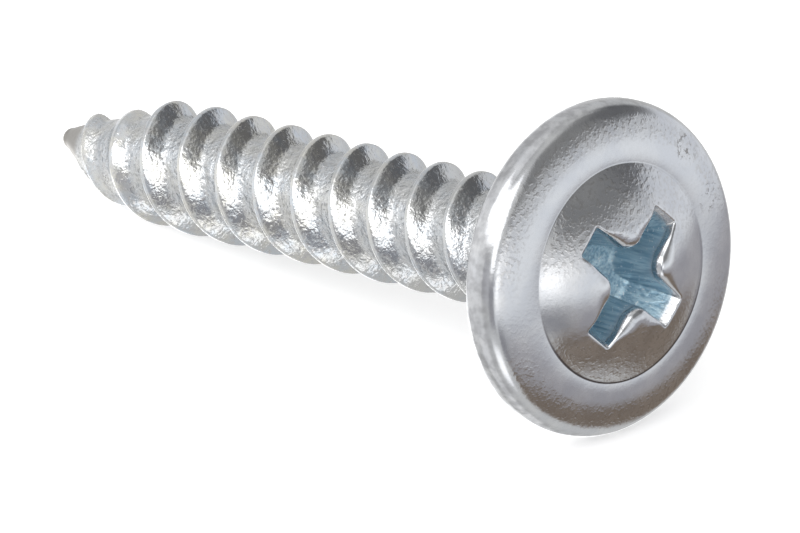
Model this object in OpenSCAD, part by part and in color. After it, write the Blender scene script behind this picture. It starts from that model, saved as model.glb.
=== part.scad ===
// Sheet metal screw: a wafer head with a cross recess, and a two-start thread that ends in a rolled point.
// It lies as it comes to rest, on the rim of its head and on the last full crest of its thread.
// Millimetres, Z up, head towards +X. The origin is the centre of the bearing face under the head.

/* [Head] */
// Diameter across the flange
head_d = 10.8; // [8:0.1:14]
// Diameter of the dome at its foot
dome_d = 7.0; // [5.6:0.1:7.6]
// Height of the dome's foot above the bearing face
flange_h = 1.55; // [1.4:0.05:2]
// Height of the crown above the bearing face
head_h = 2.5; // [2.2:0.05:3.2]
// Radius that rolls the flange's top over to its rim
rim_top_r = 0.95; // [0.6:0.05:1]
// Radius along the lower edge of the rim
rim_low_r = 0.4; // [0.2:0.05:0.5]
// Height of the upright land between those two radii
rim_land = 0.12; // [0.04:0.02:0.2]

/* [Recess] */
// Span across two opposite wings of the cross, where they meet the dome
recess_span = 4.6; // [3.6:0.1:5]
// Width of a wing where it meets the dome
wing_w = 1.05; // [0.8:0.05:1.3]
// Depth of the recess below the crown
recess_depth = 2.2; // [1.6:0.1:2.3]
// Radius of the rounded corners between the wings
recess_corner_r = 0.6; // [0.2:0.05:0.7]
// Slope of a wing's end from the axis
wing_end_slope = 26.5; // [10:0.5:28]
// Slope of a wing's sides from the axis
wing_side_slope = 4; // [1:0.5:6]
// Distance by which the punched recess sits off the screw's axis
recess_off = 0.06; // [0:0.02:0.2]

/* [Thread] */
// Diameter over the crests
thread_d = 4.2; // [3.4:0.1:4.8]
// Diameter at the root
root_d = 3.1; // [2.4:0.1:3.3]
// Distance between neighbouring crests along the axis
pitch = 1.8; // [1.2:0.1:2.4]
// Number of threads that run side by side
thread_starts = 2; // [1:1:3]
// Width of the narrow flat on a crest
crest_w = 0.12; // [0.05:0.01:0.25]
// Slope of each flank from the plane across the axis
flank_slope = 40; // [20:1:45]

/* [Shank] */
// Length from the bearing face to the tip
shank_l = 24.75; // [16:0.25:50]
// Length of the tapered point
point_l = 5.35; // [3:0.05:8]
// Length of the point's end that carries no thread
bare_tip_l = 1.25; // [0.5:0.05:1.5]
// Radius of the blunt tip
tip_r = 0.36; // [0.2:0.02:0.5]
// Radius that the crests would have at the end of the point
point_crest_r = 0.85; // [0.55:0.05:1.2]
// How late the root narrows along the point, where 1 is a straight cone
root_taper = 2; // [1:0.1:2.4]
// Distance by which the rolled point bows off the axis at its middle
point_bow = 0.16; // [0:0.02:0.2]
// Radius of the fillet between the bearing face and the shank
neck_r = 0.9; // [0.8:0.05:1]
// Length over which the thread runs out towards the head
runout_l = 1.2; // [0.6:0.1:2]

/* [Pose] */
// Turn of the lying screw about its own axis
roll_deg = 152; // [0:1:359]
// Turn of the recess about the screw's axis, counted from the thread's start
recess_turn = -19; // [-45:1:45]

/* [Detail] */
// Steps in one turn of the thread
turn_steps = 38; // [24:2:40]

/* [Hidden] */
head_r = head_d / 2;
dome_r = dome_d / 2;
thread_r = thread_d / 2;
root_r = root_d / 2;
lead = pitch * thread_starts;

// The dome is part of a ball that stands dome_rise above the flange.
dome_rise = head_h - flange_h;
ball_r = (dome_r * dome_r + dome_rise * dome_rise) / (2 * dome_rise);
ball_z = head_h - ball_r;
dome_half_angle = asin(dome_r / ball_r);

// The flange's top is a shallow cone that runs tangent into the rim's roll.
roll_x = head_r - rim_top_r;
roll_z = rim_low_r + rim_land;
roll_reach = norm([roll_x - dome_r, roll_z - flange_h]);
cone_slope = atan2(flange_h - roll_z, roll_x - dome_r) - asin(rim_top_r / roll_reach);

// The neck is a little wider than the root, and its fillet ends on the flat bearing face.
neck_step = 0.05;
neck_x = root_r + neck_step;

// The recess's corners take at most this share of a wing's length.
corner_room = 0.9;

// A thread's profile: places along the axis from the crest's middle, and how far each rises from root to crest.
flank_l = min((thread_r - root_r) * tan(flank_slope), 0.36 * (pitch - crest_w));
foot_level = 0.15;
foot_a = crest_w / 2 + (1 - foot_level) * flank_l;
foot_b = crest_w / 2 + 1.25 * flank_l;
rail_places = [-crest_w / 2, crest_w / 2, foot_a, foot_b, pitch - foot_b, pitch - foot_a];
rail_levels = [1, 1, foot_level, 0, 0, foot_level];
rails_per_crest = len(rail_places);

// The thread fades over a short length where the bare tip starts.
tip_fade_l = 0.2 * pitch;

// The thread's rails are kept between the blunt tip and the neck.
rail_margin = 0.04;
cap_z = tip_r - shank_l;
rail_low = cap_z + rail_margin;
rail_high = -neck_r - rail_margin;
crest_rows = ceil(shank_l / pitch) + 2 * thread_starts + 2;
lowest_crest = -pitch * (ceil(shank_l / pitch) + thread_starts + 1);
column_rails = [for (i = [0 : turn_steps - 1]) rails_of(i)];

// Every column of points climbs from the tip to a ring inside the head.
cap_rings = 3;
shank_top = 0.25;
column_start = [
    for (i = 0, s = 0; i < turn_steps; s = s + column_size(i), i = i + 1) s
];
apex = column_start[turn_steps - 1] + column_size(turn_steps - 1);
top_middle = apex + 1;

// The screw tips until the rim and the last full crest both touch the floor.
full_thread_l = shank_l - point_l;
rest_rise = head_r - rim_low_r - thread_r;
rest_run = full_thread_l + rim_low_r;
rest_tilt = acos(-rim_low_r / norm([rest_rise, rest_run])) - atan2(rest_run, rest_rise);

function between(x, low, high) = min(max(x, low), high);

function arc(middle, r, from, to, count) = [
    for (i = [0 : count])
        let (a = from + (to - from) * i / count)
        middle + r * [cos(a), sin(a)]
];

// How far a height lies into the point, from 0 at its start to 1 at the blunt tip.
function into_point(z) = between((-z - full_thread_l) / (point_l - tip_r), 0, 1);

// How much of the full thread is there, from the bare tip to the run-out under the head.
function thread_share(z) = min(
    between((z + shank_l - bare_tip_l) / tip_fade_l, 0, 1),
    between((-z - neck_r) / runout_l, 0, 1)
);

function shank_radius(z, level) =
    let (t = into_point(z))
    let (root = root_r + pow(t, root_taper) * (tip_r - root_r))
    let (crest = thread_r + t * (point_crest_r - thread_r))
    root + level * thread_share(z) * (crest - root);

function shank_point(i, z, r) =
    let (a = 360 * i / turn_steps)
    [r * cos(a) - point_bow * sin(180 * into_point(z)), r * sin(a), z];

function rail_height(i, n) =
    lowest_crest
    + lead * i / turn_steps
    + pitch * floor(n / rails_per_crest)
    + rail_places[n % rails_per_crest];

function rails_of(i) = [
    for (n = [0 : rails_per_crest * crest_rows - 1])
        let (z = rail_height(i, n))
        if (z > rail_low && z < rail_high) n
];

function column_size(i) = cap_rings + len(column_rails[i]) + 1;

// The blunt tip's rings, then the rails, then the ring inside the head.
function column_points(i) = concat(
    [
        for (k = [cap_rings : -1 : 1])
            let (a = 90 * (k - 1) / cap_rings)
            shank_point(i, cap_z - tip_r * sin(a), tip_r * cos(a))
    ],
    [
        for (n = column_rails[i])
            let (z = rail_height(i, n))
            shank_point(i, z, shank_radius(z, rail_levels[n % rails_per_crest]))
    ],
    [shank_point(i, shank_top, root_r)]
);

function cap_index(i, k) = column_start[i] + k;

function rail_index(i, n) = column_start[i] + cap_rings + n - column_rails[i][0];

function top_index(i) = column_start[i] + column_size(i) - 1;

function last(list) = list[len(list) - 1];

// The faces between a column and the next one. Past a full turn the rails have climbed by one lead.
function strip_faces(i) =
    let (j = (i + 1) % turn_steps)
    let (shift = j == 0 ? thread_starts * rails_per_crest : 0)
    let (low_a = column_rails[i][0])
    let (high_a = last(column_rails[i]))
    let (low_b = column_rails[j][0] - shift)
    let (high_b = last(column_rails[j]) - shift)
    let (ring_a = cap_index(i, cap_rings - 1))
    let (ring_b = cap_index(j, cap_rings - 1))
    concat(
        [[apex, cap_index(i, 0), cap_index(j, 0)]],
        [for (k = [0 : cap_rings - 2]) [cap_index(i, k), cap_index(i, k + 1), cap_index(j, k + 1)]],
        [for (k = [0 : cap_rings - 2]) [cap_index(i, k), cap_index(j, k + 1), cap_index(j, k)]],
        [[ring_a, rail_index(i, low_a), rail_index(j, low_a + shift)]],
        [
            for (n = [low_b + 1 : 1 : low_a])
                [ring_a, rail_index(j, n + shift), rail_index(j, n - 1 + shift)]
        ],
        [[ring_a, rail_index(j, low_b + shift), ring_b]],
        [
            for (n = [low_a : 1 : high_b - 1])
                [rail_index(i, n), rail_index(i, n + 1), rail_index(j, n + 1 + shift)]
        ],
        [
            for (n = [low_a : 1 : high_b - 1])
                [rail_index(i, n), rail_index(j, n + 1 + shift), rail_index(j, n + shift)]
        ],
        [
            for (n = [high_b : 1 : high_a - 1])
                [rail_index(i, n), rail_index(i, n + 1), top_index(j)]
        ],
        [[rail_index(i, high_b), top_index(j), rail_index(j, high_b + shift)]],
        [[rail_index(i, high_a), top_index(i), top_index(j)]],
        [[top_index(i), top_middle, top_index(j)]]
    );

// The root, both threads, the run-out and the point, as one closed skin.
module shank() {
    tip = [shank_point(0, -shank_l, 0), [0, 0, shank_top]];
    columns = [for (i = [0 : turn_steps - 1]) each column_points(i)];
    faces = [for (i = [0 : turn_steps - 1]) each strip_faces(i)];
    polyhedron(points = concat(columns, tip), faces = faces);
}

// The dome, the flange with its rolled rim, the flat bearing face and the fillet down to the shank.
module head() {
    section = concat(
        arc([0, ball_z], ball_r, 90, 90 - dome_half_angle, 10),
        arc([roll_x, roll_z], rim_top_r, 90 - cone_slope, 0, 8),
        arc([head_r - rim_low_r, rim_low_r], rim_low_r, 0, -90, 5),
        arc([neck_x + neck_r, -neck_r], neck_r, 90, 180, 6),
        [[0, -neck_r]]
    );
    rotate_extrude($fn = 96)
        polygon(section);
}

// One level of the cross: four wings with straight ends and rounded corners between them.
function cross_outline(half_span, half_width) =
    let (corner_r = min(recess_corner_r, corner_room * (half_span - half_width)))
    let (corner = half_width + corner_r)
    [
        for (q = [0 : 3])
            for (p = concat(
                [[half_span, -half_width], [half_span, half_width]],
                arc([corner, corner], corner_r, 270, 180, 5)
            ))
                [p[0] * cos(90 * q) - p[1] * sin(90 * q), p[0] * sin(90 * q) + p[1] * cos(90 * q)]
    ];

// The recess narrows downwards from above the crown to its floor.
module recess() {
    rim_z = ball_z + sqrt(ball_r * ball_r - recess_span * recess_span / 4);
    levels = [head_h - recess_depth, head_h + 0.2];
    outlines = [
        for (z = levels)
            cross_outline(
                recess_span / 2 + (z - rim_z) * tan(wing_end_slope),
                wing_w / 2 + (z - rim_z) * tan(wing_side_slope)
            )
    ];
    count = len(outlines[0]);
    points = concat(
        [for (level = [0, 1]) for (p = outlines[level]) [p[0], p[1], levels[level]]],
        [[0, 0, levels[0]], [0, 0, levels[1]]]
    );
    faces = [
        for (i = [0 : count - 1])
            let (j = (i + 1) % count)
            each [
                [i, i + count, j + count],
                [i, j + count, j],
                [2 * count, i, j],
                [2 * count + 1, j + count, i + count]
            ]
    ];
    translate([-recess_off, 0, 0])
        rotate([0, 0, recess_turn])
            polyhedron(points = points, faces = faces);
}

module screw() {
    color([0.76, 0.78, 0.8])
        rotate([0, 90 - rest_tilt, 0])
            rotate([0, 0, roll_deg])
                difference() {
                    union() {
                        head();
                        shank();
                    }
                    recess();
                }
}

// The node to draw

screw();
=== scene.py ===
"""Looks of the sheet metal screw: a fine mesh of the same form, bright zinc, and a white studio."""
import math

import bmesh
import bpy
import numpy as np
from mathutils import Matrix, Vector


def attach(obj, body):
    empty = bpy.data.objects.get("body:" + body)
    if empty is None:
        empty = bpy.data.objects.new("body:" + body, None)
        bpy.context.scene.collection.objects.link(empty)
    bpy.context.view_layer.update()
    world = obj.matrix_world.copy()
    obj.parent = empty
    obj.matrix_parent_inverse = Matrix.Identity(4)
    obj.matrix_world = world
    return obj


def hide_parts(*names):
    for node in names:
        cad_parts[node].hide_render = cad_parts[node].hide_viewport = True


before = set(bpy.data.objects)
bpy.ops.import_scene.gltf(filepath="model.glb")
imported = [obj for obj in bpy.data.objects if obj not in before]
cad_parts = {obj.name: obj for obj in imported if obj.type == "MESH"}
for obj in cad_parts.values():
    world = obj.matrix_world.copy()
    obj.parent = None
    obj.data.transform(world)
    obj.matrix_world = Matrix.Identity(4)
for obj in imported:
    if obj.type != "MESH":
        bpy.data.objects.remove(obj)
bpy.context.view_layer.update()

MM = 0.001

# Sizes of the screw in millimetres, as in the part's source
HEAD_R = 5.4
DOME_R = 3.5
FLANGE_H = 1.55
HEAD_H = 2.5
RIM_LOW_R = 0.4
RECESS_SPAN = 4.6
WING_W = 1.05
RECESS_DEPTH = 2.2
RECESS_CORNER_R = 0.6
RECESS_OFF = 0.06
WING_END_SLOPE = math.radians(26.5)
WING_SIDE_SLOPE = math.radians(4.0)
THREAD_R = 2.1
ROOT_R = 1.55
PITCH = 1.8
STARTS = 2
CREST_W = 0.12
FLANK_SLOPE = math.radians(40.0)
SHANK_L = 24.75
POINT_L = 5.35
BARE_TIP_L = 1.25
TIP_R = 0.36
POINT_CREST_R = 0.85
ROOT_TAPER = 2.0
POINT_BOW = 0.16
NECK_R = 0.9
NECK_X = 1.6
RUNOUT_L = 1.2
ROLL = math.radians(152.0)
RECESS_TURN = math.radians(-19.0)

# Fine forms that the looks add, in millimetres. The crown's slope and bend are degrees.
# The lip's edge is a share of its height.
CREASE_H = 0.01
CROWN_R = 3.9
CROWN_SLOPE = 4.8
CROWN_BEND = 23.0
RIM_TOP_Z = 0.57
LIP_W = 0.1
LIP_H = 0.05
LIP_CORNER_W = 0.38
LIP_CORNER_H = 0.11
LIP_EDGE = 0.7
FLOOR_DIP = 0.12
FLOOR_MIDDLE_DIP = 0.14

# View of the photograph: angles in degrees, lengths in millimetres, the focal length in pixels
CAMERA_AZIMUTH = 46.9
CAMERA_ELEVATION = 25.96
CAMERA_DISTANCE = 600.0
VIEW_LEFT = 5.89
VIEW_DOWN = 0.06
FOCAL_PIXELS = 19073.0
PHOTO_WIDTH = 800.0
SENSOR_WIDTH = 36.0

# Studio: half the floor's side in metres, its grey, its glow for the camera, and the light of the room
FLOOR_HALF = 0.6
FLOOR_GREY = (0.9, 0.9, 0.9, 1.0)
FLOOR_GLOW = 0.45
ROOM_GREY = (0.85, 0.85, 0.85)
WHITE = (1.0, 1.0, 1.0)

# Values that follow from the sizes
LEAD = PITCH * STARTS
FULL_THREAD_L = SHANK_L - POINT_L
FLANK_RUN = (THREAD_R - ROOT_R) * math.tan(FLANK_SLOPE)
DOME_RISE = HEAD_H - FLANGE_H
BALL_R = (DOME_R ** 2 + DOME_RISE ** 2) / (2 * DOME_RISE)
BALL_Z = HEAD_H - BALL_R
REST_RISE = HEAD_R - RIM_LOW_R - THREAD_R
REST_RUN = FULL_THREAD_L + RIM_LOW_R
REST_TILT = math.acos(-RIM_LOW_R / math.hypot(REST_RISE, REST_RUN)) - math.atan2(REST_RUN, REST_RISE)
FLOOR_Z = -(THREAD_R * math.cos(REST_TILT) + FULL_THREAD_L * math.sin(REST_TILT))
TO_REST = Matrix.Rotation(math.pi / 2 - REST_TILT, 3, "Y") @ Matrix.Rotation(ROLL, 3, "Z")


def dome_height(r):
    """Height of the dome above the bearing face at a distance from the axis."""
    return BALL_Z + np.sqrt(BALL_R ** 2 - r ** 2)


def smooth(x, low, high):
    """Soft step from 0 at low to 1 at high."""
    t = np.clip((x - low) / (high - low), 0.0, 1.0)
    return t * t * (3.0 - 2.0 * t)


def arc_points(middle, r, start, end, count):
    """Points on an arc, angles in degrees."""
    angles = np.radians(np.linspace(start, end, count + 1))
    return np.stack([middle[0] + r * np.cos(angles), middle[1] + r * np.sin(angles)], axis=1)


# Mesh of the head

def wing_outline(half_span, half_width):
    """Closed outline of the cross, and how near each point is to a rounded corner between two wings."""
    end_r = 0.07
    corner = half_width + RECESS_CORNER_R
    side = np.linspace(corner, half_span - end_r, 11)[:-1]
    flat = np.linspace(-half_width + end_r, half_width - end_r, 11)[:-1]
    low_side = np.stack([side, np.full_like(side, -half_width)], axis=1)
    low_corner = arc_points((half_span - end_r, -half_width + end_r), end_r, -90, 0, 4)[:-1]
    end = np.stack([np.full_like(flat, half_span), flat], axis=1)
    high_corner = arc_points((half_span - end_r, half_width - end_r), end_r, 0, 90, 4)[:-1]
    back = np.linspace(half_span - end_r, corner, 11)[:-1]
    high_side = np.stack([back, np.full_like(back, half_width)], axis=1)
    inner = arc_points((corner, corner), RECESS_CORNER_R, 270, 180, 12)[:-1]
    wing = np.concatenate([low_side, low_corner, end, high_corner, high_side, inner])
    reach = np.abs(wing[:, 0]) - corner
    near_corner = 1.0 - smooth(np.maximum(reach, 0.0), 0.0, 0.75 * (half_span - corner))
    turned = []
    for quarter in range(4):
        a = quarter * math.pi / 2 + RECESS_TURN
        spin = np.array([[math.cos(a), -math.sin(a)], [math.sin(a), math.cos(a)]])
        turned.append(wing @ spin.T)
    return np.concatenate(turned), np.tile(near_corner, 4)


def recess_line():
    """The cross at the dome's height, how it moves sideways with height, and its nearness to corners."""
    rim_z = dome_height(RECESS_SPAN / 2)
    low, near_corner = wing_outline(RECESS_SPAN / 2, WING_W / 2)
    high_span = RECESS_SPAN / 2 + math.tan(WING_END_SLOPE)
    high_width = WING_W / 2 + math.tan(WING_SIDE_SLOPE)
    high, _ = wing_outline(high_span, high_width)
    drift = high - low
    low = low - [RECESS_OFF, 0.0]
    line = low.copy()
    for _ in range(4):
        height = dome_height(np.hypot(line[:, 0], line[:, 1]))
        line = low + drift * (height - rim_z)[:, None]
    return line, drift, near_corner


def flange_arcs():
    """The flange's top: a wide arc that crowns it, and a tight arc tangent to the upright rim."""
    slope = math.radians(CROWN_SLOPE)
    bend = math.radians(CROWN_BEND)
    start = np.array([CROWN_R, FLANGE_H - (CROWN_R - DOME_R) * math.tan(slope)])
    run = [math.sin(bend) - math.sin(slope), 1.0 - math.sin(bend)]
    drop = [math.cos(slope) - math.cos(bend), math.cos(bend)]
    wide_r, tight_r = np.linalg.solve([run, drop], [HEAD_R - start[0], start[1] - RIM_TOP_Z])
    wide_middle = start - wide_r * np.array([math.sin(slope), math.cos(slope)])
    wide = arc_points(wide_middle, wide_r, 90 - CROWN_SLOPE, 90 - CROWN_BEND, 18)
    tight = arc_points((HEAD_R - tight_r, RIM_TOP_Z), tight_r, 90 - CROWN_BEND, 0, 16)
    return wide, tight[1:]


def head_rings():
    """Rings of points from the recess floor out over the dome and the flange, and back under to the neck."""
    line, drift, near_corner = recess_line()
    top = dome_height(np.hypot(line[:, 0], line[:, 1]))
    floor_z = HEAD_H - RECESS_DEPTH
    along = np.roll(line, -1, axis=0) - np.roll(line, 1, axis=0)
    out = np.stack([along[:, 1], -along[:, 0]], axis=1)
    out /= np.linalg.norm(out, axis=1)[:, None]
    lip_w = LIP_W + LIP_CORNER_W * near_corner
    lip_h = LIP_H + LIP_CORNER_H * near_corner
    rings = []
    zones = []

    def add(xy, z, zone):
        rings.append(np.column_stack([xy, np.broadcast_to(z, len(xy))]))
        zones.append(zone)

    for share in (0.12, 0.45, 0.8):
        add((line + drift * (floor_z - top)[:, None]) * share, floor_z - FLOOR_DIP * (1 - share), 1.0)
    for share in np.linspace(1.0, 0.0, 9):
        wall_top = top - lip_h * (1.0 + LIP_EDGE) - 0.02
        z = wall_top - share * (wall_top - floor_z)
        add(line + drift * (z - top)[:, None], z, smooth(top.mean() - z.mean(), 0.15, 0.5))
    for share in (0.03, 0.1, 0.2, 0.35, 0.5, 0.65, 0.8, 1.0):
        xy = line + out * (lip_w * share)[:, None]
        dip = lip_h * (1.0 - share) ** 2 * (1.0 + LIP_EDGE * math.exp(-share / 0.08))
        add(xy, dome_height(np.hypot(xy[:, 0], xy[:, 1])) - dip, 0.0)
    start = line + out * lip_w[:, None]
    angle = np.arctan2(start[:, 1], start[:, 0])
    circle = DOME_R * np.stack([np.cos(angle), np.sin(angle)], axis=1)
    for share in np.concatenate([[0.03, 0.08], np.linspace(0.16, 0.96, 13), [0.99, 1.0]]):
        xy = start * (1 - share) + circle * share
        r = np.minimum(np.hypot(xy[:, 0], xy[:, 1]), DOME_R)
        add(xy, dome_height(r), 0.0)

    crown, roll = flange_arcs()
    foot = np.array([[DOME_R + 0.03, FLANGE_H - CREASE_H], [DOME_R + 0.06, FLANGE_H - 0.006]])
    low_edge = arc_points((HEAD_R - RIM_LOW_R, RIM_LOW_R), RIM_LOW_R, 0, -90, 10)
    under = np.linspace(low_edge[-1], [NECK_X + NECK_R, 0.0], 8)[1:-1]
    neck = arc_points((NECK_X + NECK_R, -NECK_R), NECK_R, 90, 180, 12)
    for r, z in np.concatenate([foot, crown, roll, low_edge, under, neck]):
        add(circle * (r / DOME_R), z, 0.0)
    return rings, zones


def head_mesh():
    """Points, faces and recess share of the head, and the ring at the end of its neck."""
    rings, zones = head_rings()
    count = len(rings[0])
    lowest = np.array([[0.0, 0.0, HEAD_H - RECESS_DEPTH - FLOOR_MIDDLE_DIP]])
    points = np.concatenate(rings + [lowest])
    recess = np.concatenate([np.repeat(zones, count), [1.0]])
    faces = []
    for k in range(len(rings) - 1):
        for i in range(count):
            j = (i + 1) % count
            faces.append((k * count + i, (k + 1) * count + i, (k + 1) * count + j, k * count + j))
    floor_middle = len(rings) * count
    for i in range(count):
        faces.append((floor_middle, i, (i + 1) % count))
    neck_ring = np.arange(floor_middle - count, floor_middle)
    return points, faces, recess, neck_ring


# Mesh of the shank

def thread_level(place):
    """How far the profile stands from root to crest, at a place along the axis from a crest's middle."""
    away = np.abs(place) - CREST_W / 2
    straight = 1.0 - away / FLANK_RUN
    ease = 0.10
    top = 1.0 - ease * np.log1p(np.exp((1.0 - straight) / ease)) + ease * math.log(2.0)
    foot = 0.07
    level = foot * np.log1p(np.exp(np.clip(top, -6.0, 2.0) / foot))
    return np.clip(level, 0.0, 1.0)


def into_point(z):
    """How far a height lies into the point, from 0 where the taper starts to 1 at the tip's ball."""
    return np.clip((-z - FULL_THREAD_L) / (POINT_L - TIP_R), 0.0, 1.0)


def shank_radius(z, level):
    """Distance of the skin from the axis at a height, for a profile level."""
    t = into_point(z)
    root = ROOT_R + t ** ROOT_TAPER * (TIP_R - ROOT_R)
    crest = THREAD_R + t * (POINT_CREST_R - THREAD_R)
    at_tip = np.clip((z + SHANK_L - BARE_TIP_L) / (0.2 * PITCH), 0.0, 1.0)
    at_head = np.clip((-z - NECK_R) / RUNOUT_L, 0.0, 1.0)
    return root + level * np.minimum(at_tip, at_head) * (crest - root)


def thread_places():
    """Places along one pitch from a crest's middle, closest together where the profile bends."""
    half = CREST_W / 2
    down_flank = np.array([0.0, 0.12, 0.3, 0.5, 0.7, 0.85, 1.0, 1.2, 1.5])
    one_side = np.concatenate([[0.0, 0.5 * half], half + down_flank * FLANK_RUN])
    in_root = PITCH / 2 + np.array([-0.12, 0.0, 0.12])
    return np.concatenate([one_side, in_root, PITCH - one_side[:0:-1]])


def shank_mesh():
    """Points, faces and profile level of the root, both threads and the point, and the ring at its top."""
    columns = 144
    places = thread_places()
    from_crest = np.where(places > PITCH / 2, places - PITCH, places)
    rows = math.ceil(SHANK_L / PITCH) + 2 * STARTS + 2
    lowest = -PITCH * (math.ceil(SHANK_L / PITCH) + STARTS + 1)
    rail = (lowest + PITCH * np.arange(rows)[:, None] + places[None, :]).ravel()
    level = np.tile(thread_level(from_crest), rows)
    turn = np.arange(columns + 1) / columns
    cap_z = TIP_R - SHANK_L
    top_z = -NECK_R
    z = np.clip(rail[:, None] + LEAD * turn[None, :], cap_z, top_z)
    r = shank_radius(z, level[:, None])
    shift = -POINT_BOW * np.sin(math.pi * into_point(z))
    x = r * np.cos(2 * math.pi * turn)[None, :] + shift
    y = r * np.sin(2 * math.pi * turn)[None, :]
    grid = np.stack([x, y, z], axis=2)
    points = grid.reshape(-1, 3)
    levels = np.repeat(level, columns + 1)
    wide = columns + 1
    faces = []
    for k in range(len(rail) - 1):
        inside = (z[k + 1] > cap_z) & (z[k] < top_z)
        for i in range(columns):
            if inside[i] or inside[i + 1]:
                faces.append((k * wide + i, k * wide + i + 1, (k + 1) * wide + i + 1, (k + 1) * wide + i))
    cap = []
    for angle in np.radians(np.linspace(0, 80, 7)):
        ring = np.column_stack([
            TIP_R * math.cos(angle) * np.cos(2 * math.pi * turn[:-1]),
            TIP_R * math.cos(angle) * np.sin(2 * math.pi * turn[:-1]),
            np.full(columns, cap_z - TIP_R * math.sin(angle)),
        ])
        cap.append(ring)
    base = len(points)
    points = np.concatenate([points] + cap + [np.array([[0.0, 0.0, -SHANK_L]])])
    levels = np.concatenate([levels, np.zeros(len(points) - base)])
    for k in range(len(cap) - 1):
        for i in range(columns):
            j = (i + 1) % columns
            faces.append((base + k * columns + j, base + k * columns + i,
                          base + (k + 1) * columns + i, base + (k + 1) * columns + j))
    tip = len(points) - 1
    ring = base + (len(cap) - 1) * columns
    for i in range(columns):
        faces.append((tip, ring + (i + 1) % columns, ring + i))
    top_ring = (len(rail) - 1) * wide + np.arange(columns)
    return points, faces, levels, top_ring


def joining_faces(points, first_ring, second_ring):
    """Triangles between two rings around the axis that differ in their number of points."""
    rings = []
    for ring in (first_ring, second_ring):
        angles = np.mod(np.arctan2(points[ring, 1], points[ring, 0]), 2 * math.pi)
        order = np.argsort(angles)
        closed_ring = np.append(ring[order], ring[order[0]])
        closed_angles = np.append(angles[order], angles[order[0]] + 2 * math.pi)
        rings.append((closed_ring, closed_angles))
    (first, first_angles), (second, second_angles) = rings
    faces = []
    i = 0
    j = 0
    while i < len(first_ring) or j < len(second_ring):
        second_done = j == len(second_ring)
        if second_done or (i < len(first_ring) and first_angles[i + 1] <= second_angles[j + 1]):
            faces.append((first[i], first[i + 1], second[j]))
            i += 1
        else:
            faces.append((first[i], second[j + 1], second[j]))
            j += 1
    return [tuple(int(v) for v in face) for face in faces]


# Where the finish changes, and where shade is painted, as a value at each point of the mesh

def from_axis(points):
    """Distance of each point from the screw's axis."""
    return np.hypot(points[:, 0], points[:, 1])


def rest_height(points):
    """Height of each point above the origin as the screw lies."""
    return points @ np.array(TO_REST)[2]


def on_top(points):
    """The top side of the head."""
    return smooth(points[:, 2], 1.0, 1.2)


def foot_shade_line(points):
    """Where a fine dark line of painted shade runs around the dome's foot, strongest on the low side as the
    screw lies.
    """
    off_line = np.abs(from_axis(points) - DOME_R - 0.015)
    low_side = 0.15 + 0.85 * smooth(-rest_height(points), 0.0, 2.0)
    return on_top(points) * low_side * (1.0 - smooth(off_line, 0.02, 0.04))


def handling_marks(points):
    """Where the flange is a little pitted, at two places on one side."""
    marks = (((4.35, -1.6), 0.75), ((3.05, -3.1), 0.65))
    worn = np.zeros(len(points))
    for place, reach in marks:
        away = np.hypot(points[:, 0] - place[0], points[:, 1] - place[1])
        worn = np.maximum(worn, 1.0 - smooth(away, 0.3 * reach, reach))
    return worn * on_top(points)


def outer_rim(points):
    """The upright edge of the flange, which is coloured a duller, darker grey in patches than its top."""
    return smooth(from_axis(points), HEAD_R - 0.25, HEAD_R - 0.04)


def head_grain(points, recess):
    """How grainy the skin of the head is: most high and low on the dome and on the crown's slope."""
    r = from_axis(points)
    off_middle = smooth(np.abs(rest_height(points)), 0.5, 2.0)
    on_dome = 1.0 - smooth(r, DOME_R - 0.05, DOME_R + 0.05)
    on_slope = smooth(r, 4.1, 4.5) - smooth(r, 4.85, 5.2)
    skin = 0.05 + off_middle * (0.12 * on_dome + 0.14 * on_slope)
    return skin * (1.0 - 0.5 * recess)


def shank_skin(points, level):
    """Grain, dullness and bareness of the shank: grainy and dull in the root, smooth on the bare tip. The
    dullness also holds painted shade near the head, where the head shades the shank and is mirrored in it.
    """
    along = points[:, 2] + SHANK_L
    bare = 1.0 - smooth(along, 0.9 * BARE_TIP_L, BARE_TIP_L + 0.35)
    root = 1.0 - smooth(level, 0.03, 0.25)
    first_turn = smooth(along, 1.2, 1.6) * (1.0 - smooth(along, 2.6, 3.4))
    # Painted shade near the head: it adds to the dullness, which greys the shank's colour there, where the
    # head shades it and is mirrored in it.
    painted_shade_near_head = 1.0 - smooth(-points[:, 2], 1.0, 4.5)
    grain = (1.0 + 2.2 * root + 1.8 * first_turn - 0.4 * smooth(level, 0.85, 1.0)) * (1.0 - 0.9 * bare)
    dull = (0.18 * root + 0.08 * painted_shade_near_head + 0.1 * first_turn - 0.06) * (1.0 - bare) + 0.2 * bare
    return grain, dull, bare


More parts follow.
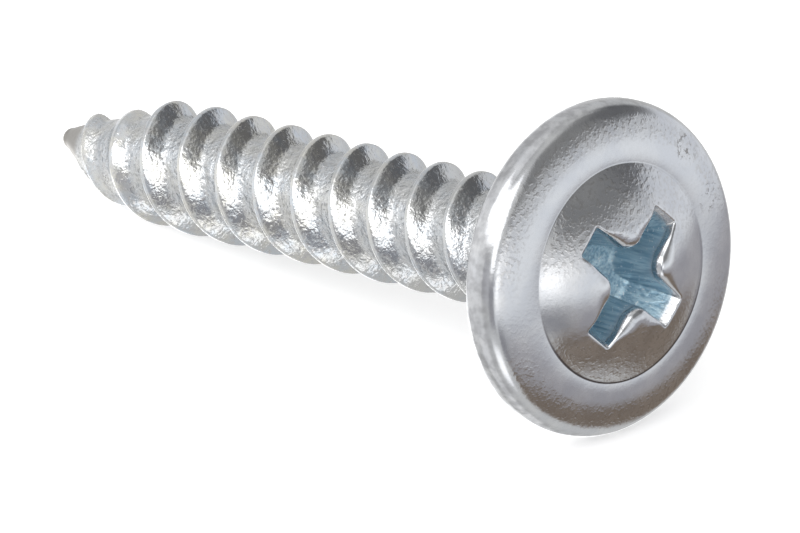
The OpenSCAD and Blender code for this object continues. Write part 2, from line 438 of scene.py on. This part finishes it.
def make_screw():
    """One mesh object of the whole screw, in its rest pose."""
    head_points, head_faces, recess, neck_ring = head_mesh()
    shank_points, shank_faces, level, top_ring = shank_mesh()
    offset = len(head_points)
    shank_grain, shank_dull_and_shade, bare = shank_skin(shank_points, level)
    none_on_head = np.zeros(len(head_points))
    none_on_shank = np.zeros(len(shank_points))
    points = np.concatenate([head_points, shank_points])
    faces = head_faces + [tuple(v + offset for v in face) for face in shank_faces]
    faces += joining_faces(points, neck_ring, top_ring + offset)
    mesh = bpy.data.meshes.new("screw_fine")
    world = points @ np.array(TO_REST).T * MM
    mesh.from_pydata(world.tolist(), [], faces)
    # Among these, the foot line and the near-head part of the dullness are painted shade.
    for name, values in (
        ("grain_share", np.concatenate([head_grain(head_points, recess), shank_grain])),
        ("dull_and_shade_share", np.concatenate([none_on_head, shank_dull_and_shade])),
        ("recess_share", np.concatenate([recess, none_on_shank])),
        ("foot_shade_share", np.concatenate([foot_shade_line(head_points), none_on_shank])),
        ("bare_share", np.concatenate([none_on_head, bare])),
        ("worn_share", np.concatenate([handling_marks(head_points), none_on_shank])),
        ("rim_share", np.concatenate([outer_rim(head_points), none_on_shank])),
    ):
        layer = mesh.attributes.new(name, "FLOAT", "POINT")
        layer.data.foreach_set("value", values.astype(np.float32))
    own_place = mesh.attributes.new("own_place", "FLOAT_VECTOR", "POINT")
    own_place.data.foreach_set("vector", points.astype(np.float32).ravel())
    mesh.update()
    obj = bpy.data.objects.new("screw_fine", mesh)
    bpy.context.scene.collection.objects.link(obj)
    build = bmesh.new()
    build.from_mesh(mesh)
    bmesh.ops.remove_doubles(build, verts=build.verts, dist=1e-7)
    bmesh.ops.dissolve_degenerate(build, edges=build.edges, dist=1e-8)
    bmesh.ops.recalc_face_normals(build, faces=build.faces)
    build.to_mesh(mesh)
    build.free()
    mesh.shade_smooth()
    return obj


# Materials

def add_node(tree, kind, settings=(), **values):
    """A node of a kind, with its settings and the values of its unlinked inputs."""
    node = tree.nodes.new("ShaderNode" + kind)
    for name, value in dict(settings).items():
        setattr(node, name, value)
    for name, value in values.items():
        node.inputs[name.replace("_", " ")].default_value = value
    return node


def empty_material(name):
    """A material with no nodes yet."""
    material = bpy.data.materials.new(name)
    material.use_nodes = True
    material.node_tree.nodes.clear()
    return material


def ramp(tree, source, low, high, to_low=0.0, to_high=1.0):
    """A soft step of a value, from to_low below low to to_high above high."""
    node = add_node(tree, "MapRange", {"interpolation_type": "SMOOTHSTEP"})
    for place, value in ((1, low), (2, high), (3, to_low), (4, to_high)):
        node.inputs[place].default_value = value
    tree.links.new(source, node.inputs[0])
    return node.outputs[0]


def maths(tree, operation, *terms):
    """Result of a sum or other operation, each term a socket or a constant."""
    node = add_node(tree, "Math", {"operation": operation})
    for place, term in enumerate(terms):
        if isinstance(term, float):
            node.inputs[place].default_value = term
        else:
            tree.links.new(term, node.inputs[place])
    return node.outputs[0]


def times(tree, a, b):
    """Product of two values."""
    return maths(tree, "MULTIPLY", a, b)


def mesh_value(tree, name, output="Fac"):
    """A value that the mesh holds at each of its points."""
    return add_node(tree, "Attribute", {"attribute_name": name}).outputs[output]


def blend_colour(tree, share, first, second):
    """Mix of two colours, each a socket or a constant."""
    node = add_node(tree, "Mix", {"data_type": "RGBA"})
    tree.links.new(share, node.inputs["Factor"])
    for place, colour in ((6, first), (7, second)):
        if isinstance(colour, tuple):
            node.inputs[place].default_value = (*colour, 1.0)
        else:
            tree.links.new(colour, node.inputs[place])
    return node.outputs[2]


# Colours of the finish, and of the painted shade near the head and along the dome's foot
DULL_ZINC = (0.63, 0.645, 0.675)
PALE_ZINC = (0.71, 0.72, 0.735)
COOL_TINT = (0.57, 0.615, 0.66)
WARM_TINT = (0.67, 0.655, 0.595)
# Painted shade on the shank near the head
SHADE_GREY_NEAR_HEAD = (0.44, 0.46, 0.48)
SPECK_GREY = (0.6, 0.6, 0.605)
DEEP_BLUE = (0.29, 0.46, 0.58)
LIGHT_BLUE = (0.56, 0.73, 0.81)
SPARKLE = (0.82, 0.88, 0.9)
ROOT_GREY = (0.54, 0.55, 0.56)
BARE_STEEL = (0.33, 0.318, 0.3)
PIT_GREY = (0.34, 0.33, 0.32)
RIM_GREY = (0.43, 0.435, 0.45)
# Painted shade along the dome's foot
FOOT_SHADE_DARK = (0.16, 0.15, 0.15)


def zinc():
    """Bright zinc plating: metal with a faint blue, an orange-peel skin, bright grain and dull patches, with
    painted shade near the head and along the dome's foot.
    """
    material = empty_material("zinc_steel")
    tree = material.node_tree
    link = tree.links.new
    output = add_node(tree, "OutputMaterial")
    shader = add_node(tree, "BsdfPrincipled")
    link(shader.outputs["BSDF"], output.inputs["Surface"])
    own_place = mesh_value(tree, "own_place", "Vector")
    grain_share = mesh_value(tree, "grain_share")
    recess_share = mesh_value(tree, "recess_share")
    dull_and_shade_share = mesh_value(tree, "dull_and_shade_share")
    foot_shade_share = mesh_value(tree, "foot_shade_share")
    bare_share = mesh_value(tree, "bare_share")
    worn_share = mesh_value(tree, "worn_share")
    rim_share = mesh_value(tree, "rim_share")

    def speckle(per_mm, detail, lift=0.5, stretch=(1.0, 1.0, 1.0)):
        scaled = add_node(tree, "Mapping", Scale=stretch)
        link(own_place, scaled.inputs["Vector"])
        node = add_node(tree, "TexNoise", Scale=per_mm, Detail=detail, Roughness=lift)
        link(scaled.outputs["Vector"], node.inputs["Vector"])
        return node.outputs["Fac"]

    def raised(height, depth_mm, share, below=None):
        bump = add_node(tree, "Bump", Distance=depth_mm * MM)
        link(height, bump.inputs["Height"])
        link(share, bump.inputs["Strength"])
        if below is not None:
            link(below, bump.inputs["Normal"])
        return bump.outputs["Normal"]

    peel = speckle(2.6, 2.0)
    grain = speckle(8.0, 2.0, 0.6)
    patches = speckle(0.9, 3.0, 0.55)
    streaks = speckle(9.0, 2.0, 0.5, (1.0, 1.0, 0.07))

    speck = ramp(tree, speckle(7.5, 1.0), 0.44, 0.72)
    speck_share = ramp(tree, grain_share, 0.0, 0.2)
    skin = raised(peel, 0.028, grain_share)
    skin = raised(grain, 0.014, grain_share, skin)
    skin = raised(speck, 0.0038, speck_share, skin)
    pits = times(tree, ramp(tree, speckle(4.5, 3.0, 0.65), 0.56, 0.64), worn_share)
    skin = raised(pits, -0.01, worn_share, skin)
    skin = raised(streaks, 0.024, recess_share, skin)
    link(skin, shader.inputs["Normal"])

    pale = blend_colour(tree, ramp(tree, patches, 0.35, 0.65), DULL_ZINC, PALE_ZINC)
    hue = ramp(tree, speckle(1.1, 2.0), 0.38, 0.62)
    tints = blend_colour(tree, hue, COOL_TINT, WARM_TINT)
    along = add_node(tree, "SeparateXYZ")
    link(own_place, along.inputs[0])
    # Painted shade: the shank's tints turn grey towards the head, where the head shades it and is mirrored
    # in it.
    painted_shade_near_head = ramp(tree, along.outputs["Z"], -13.0, -3.0, 0.0, 0.6)
    shaded_tints = blend_colour(tree, painted_shade_near_head, tints, SHADE_GREY_NEAR_HEAD)
    plated = blend_colour(tree, ramp(tree, grain_share, 0.3, 0.45, 0.0, 0.7), pale, shaded_tints)
    specked = blend_colour(tree, times(tree, speck, speck_share), plated, SPECK_GREY)
    blue = blend_colour(tree, ramp(tree, streaks, 0.32, 0.66), DEEP_BLUE, LIGHT_BLUE)
    sparkling = blend_colour(tree, ramp(tree, speckle(11.0, 1.0), 0.64, 0.72), blue, SPARKLE)
    tinted = blend_colour(tree, ramp(tree, recess_share, 0.5, 1.0), specked, sparkling)
    # The dullness also holds painted shade near the head, so this grey blend darkens the shank there too.
    rooted_and_shaded = blend_colour(tree, ramp(tree, dull_and_shade_share, 0.0, 0.12, 0.0, 0.5), tinted, ROOT_GREY)
    bared = blend_colour(tree, bare_share, rooted_and_shaded, BARE_STEEL)
    pitted = blend_colour(tree, pits, bared, PIT_GREY)
    rim_patches = times(tree, ramp(tree, speckle(2.2, 2.0, 0.6), 0.36, 0.64, 0.3, 0.95), rim_share)
    rimmed = blend_colour(tree, rim_patches, pitted, RIM_GREY)
    # Painted shade: a dark line along the dome's foot, strongest on the low side as the screw lies.
    foot_shaded = blend_colour(tree, foot_shade_share, rimmed, FOOT_SHADE_DARK)
    link(foot_shaded, shader.inputs["Base Color"])
    link(ramp(tree, recess_share, 0.5, 1.0, 1.0, 0.55), shader.inputs["Metallic"])
    dull = ramp(tree, patches, 0.3, 0.7, 0.13, 0.19)
    glint = times(tree, ramp(tree, grain, 0.5, 0.7, 0.0, 0.25), grain_share)
    rough = maths(tree, "ADD", maths(tree, "ADD", dull, glint), dull_and_shade_share)
    rougher = maths(tree, "MULTIPLY_ADD", recess_share, 0.22, rough)
    link(rougher, shader.inputs["Roughness"])
    return material


# Studio

def make_floor():
    """White floor that keeps a soft shadow. Its glow for the camera only lifts it to white."""
    mesh = bpy.data.meshes.new("floor")
    sides = ((-1, -1), (1, -1), (1, 1), (-1, 1))
    corners = [(x * FLOOR_HALF, y * FLOOR_HALF, FLOOR_Z * MM) for x, y in sides]
    mesh.from_pydata(corners, [], [(0, 1, 2, 3)])
    floor = bpy.data.objects.new("floor", mesh)
    bpy.context.scene.collection.objects.link(floor)
    material = empty_material("floor_white")
    tree = material.node_tree
    link = tree.links.new
    output = add_node(tree, "OutputMaterial")
    matt = add_node(tree, "BsdfDiffuse", Color=FLOOR_GREY)
    glow = add_node(tree, "Emission", Color=(*WHITE, 1.0))
    path = add_node(tree, "LightPath")
    both = add_node(tree, "AddShader")
    link(times(tree, path.outputs["Is Camera Ray"], FLOOR_GLOW), glow.inputs["Strength"])
    link(matt.outputs["BSDF"], both.inputs[0])
    link(glow.outputs["Emission"], both.inputs[1])
    link(both.outputs["Shader"], output.inputs["Surface"])
    mesh.materials.append(material)
    floor.visible_glossy = False
    floor.visible_shadow = False
    return floor


# What the metal mirrors. Azimuth 0 is towards -Y and 90 towards +X. Each patch has the middle and half
# width of its azimuth, the same for its elevation, half the width of its soft edge, and its colour.
# All angles are degrees, and a later patch covers an earlier one.
SURROUNDINGS = (
    ("grey side", 118.0, 114.0, 0.0, 110.0, 10.0, (0.68, 0.68, 0.675)),
    ("left high", -112.0, 40.0, 32.0, 20.0, 10.0, (0.74, 0.74, 0.74)),
    ("left low", -72.0, 30.0, -52.0, 16.0, 8.0, (0.7, 0.7, 0.69)),
    ("left middle", -58.0, 22.0, 3.0, 14.0, 8.0, (1.2, 1.2, 1.2)),
    ("upper right", 130.0, 46.0, 41.0, 25.0, 8.0, (0.26, 0.26, 0.26)),
    ("dark right", 166.0, 28.0, 32.0, 18.0, 8.0, (0.17, 0.17, 0.175)),
    ("warm floor", 133.0, 52.0, -36.0, 14.0, 7.0, (0.235, 0.19, 0.155)),
    ("right low", 142.0, 52.0, -19.0, 9.0, 5.0, (0.42, 0.41, 0.43)),
    ("right shoulder", 122.0, 66.0, 6.0, 10.5, 3.5, (0.62, 0.63, 0.65)),
    ("right horizon", 122.0, 66.0, -3.0, 9.0, 6.5, (0.94, 0.965, 1.0)),
    ("far right", 174.0, 24.0, 4.0, 13.0, 8.0, (0.8, 0.82, 0.86)),
    ("low left", 79.0, 10.0, -19.0, 7.0, 4.0, (0.33, 0.33, 0.35)),
    ("main light", 8.0, 54.0, 44.0, 16.0, 6.0, (2.6, 2.6, 2.6)),
    ("front light", 48.0, 10.0, 22.5, 11.5, 6.0, (2.1, 2.1, 2.1)),
    ("left floor", -106.0, 34.0, -38.0, 13.0, 6.0, (2.0, 2.0, 2.0)),
    ("left card", -118.0, 12.0, -4.0, 14.0, 6.0, (1.1, 1.1, 1.1)),
    ("dark front", 20.0, 17.0, 6.0, 12.0, 5.0, (0.6, 0.6, 0.62)),
    ("dull front", 48.0, 12.0, -3.5, 12.5, 5.0, (0.36, 0.36, 0.38)),
    ("side glow", 78.0, 15.0, 2.0, 10.0, 6.0, (1.1, 1.1, 1.1)),
    ("side light", 76.0, 7.0, 2.0, 5.0, 5.0, (1.8, 1.8, 1.8)),
    ("low front", 46.0, 14.0, -38.5, 10.5, 6.0, (1.6, 1.6, 1.6)),
)


def make_world():
    """White surroundings, with soft lights and grey and dark sides in what the metal mirrors."""
    world = bpy.data.worlds.new("studio")
    bpy.context.scene.world = world
    world.use_nodes = True
    tree = world.node_tree
    tree.nodes.clear()
    link = tree.links.new

    ray = add_node(tree, "SeparateXYZ")
    link(add_node(tree, "TexCoord").outputs["Generated"], ray.inputs[0])
    elevation = maths(tree, "ARCSINE", ray.outputs["Z"])
    azimuth = maths(tree, "ARCTAN2", ray.outputs["X"], times(tree, ray.outputs["Y"], -1.0))

    def inside(offset, half, soft):
        gap = maths(tree, "ABSOLUTE", offset)
        return ramp(tree, gap, math.radians(half - soft), math.radians(half + soft), 1.0, 0.0)

    path = add_node(tree, "LightPath")
    mirrored = maths(tree, "MAXIMUM", path.outputs["Is Glossy Ray"], path.outputs["Is Transmission Ray"])
    shown = maths(tree, "MAXIMUM", path.outputs["Is Camera Ray"], mirrored)
    colour = blend_colour(tree, shown, ROOM_GREY, WHITE)
    for _, mid_azimuth, half_azimuth, mid_elevation, half_elevation, soft, patch in SURROUNDINGS:
        past = maths(tree, "SUBTRACT", azimuth, math.radians(mid_azimuth))
        turn = maths(tree, "WRAP", past, math.pi, -math.pi)
        rise = maths(tree, "SUBTRACT", elevation, math.radians(mid_elevation))
        share = times(tree, inside(turn, half_azimuth, soft), inside(rise, half_elevation, soft))
        colour = blend_colour(tree, share, colour, patch)
    seen = blend_colour(tree, path.outputs["Is Camera Ray"], colour, WHITE)
    back = add_node(tree, "Background", Strength=1.0)
    link(seen, back.inputs["Color"])
    output = add_node(tree, "OutputWorld")
    link(back.outputs["Background"], output.inputs["Surface"])


def make_camera():
    """Camera at the photograph's angle, far away with a long lens."""
    azimuth = math.radians(CAMERA_AZIMUTH)
    elevation = math.radians(CAMERA_ELEVATION)
    toward = Vector((
        math.cos(elevation) * math.sin(azimuth),
        -math.cos(elevation) * math.cos(azimuth),
        math.sin(elevation),
    ))
    right = Vector((math.cos(azimuth), math.sin(azimuth), 0.0))
    up = toward.cross(right)
    place = toward * CAMERA_DISTANCE - right * VIEW_LEFT - up * VIEW_DOWN
    data = bpy.data.cameras.new("camera")
    data.sensor_width = SENSOR_WIDTH
    data.lens = FOCAL_PIXELS * SENSOR_WIDTH / PHOTO_WIDTH
    data.clip_start = 0.01
    data.clip_end = 10.0
    camera = bpy.data.objects.new("camera", data)
    camera.matrix_world = Matrix.Translation(place * MM) @ Matrix((right, up, toward)).transposed().to_4x4()
    bpy.context.scene.collection.objects.link(camera)
    bpy.context.scene.camera = camera


screw = make_screw()
screw.data.materials.append(zinc())
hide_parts("screw")
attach(screw, "root")
make_floor()
make_world()
make_camera()
bpy.context.scene.view_settings.view_transform = "Standard"
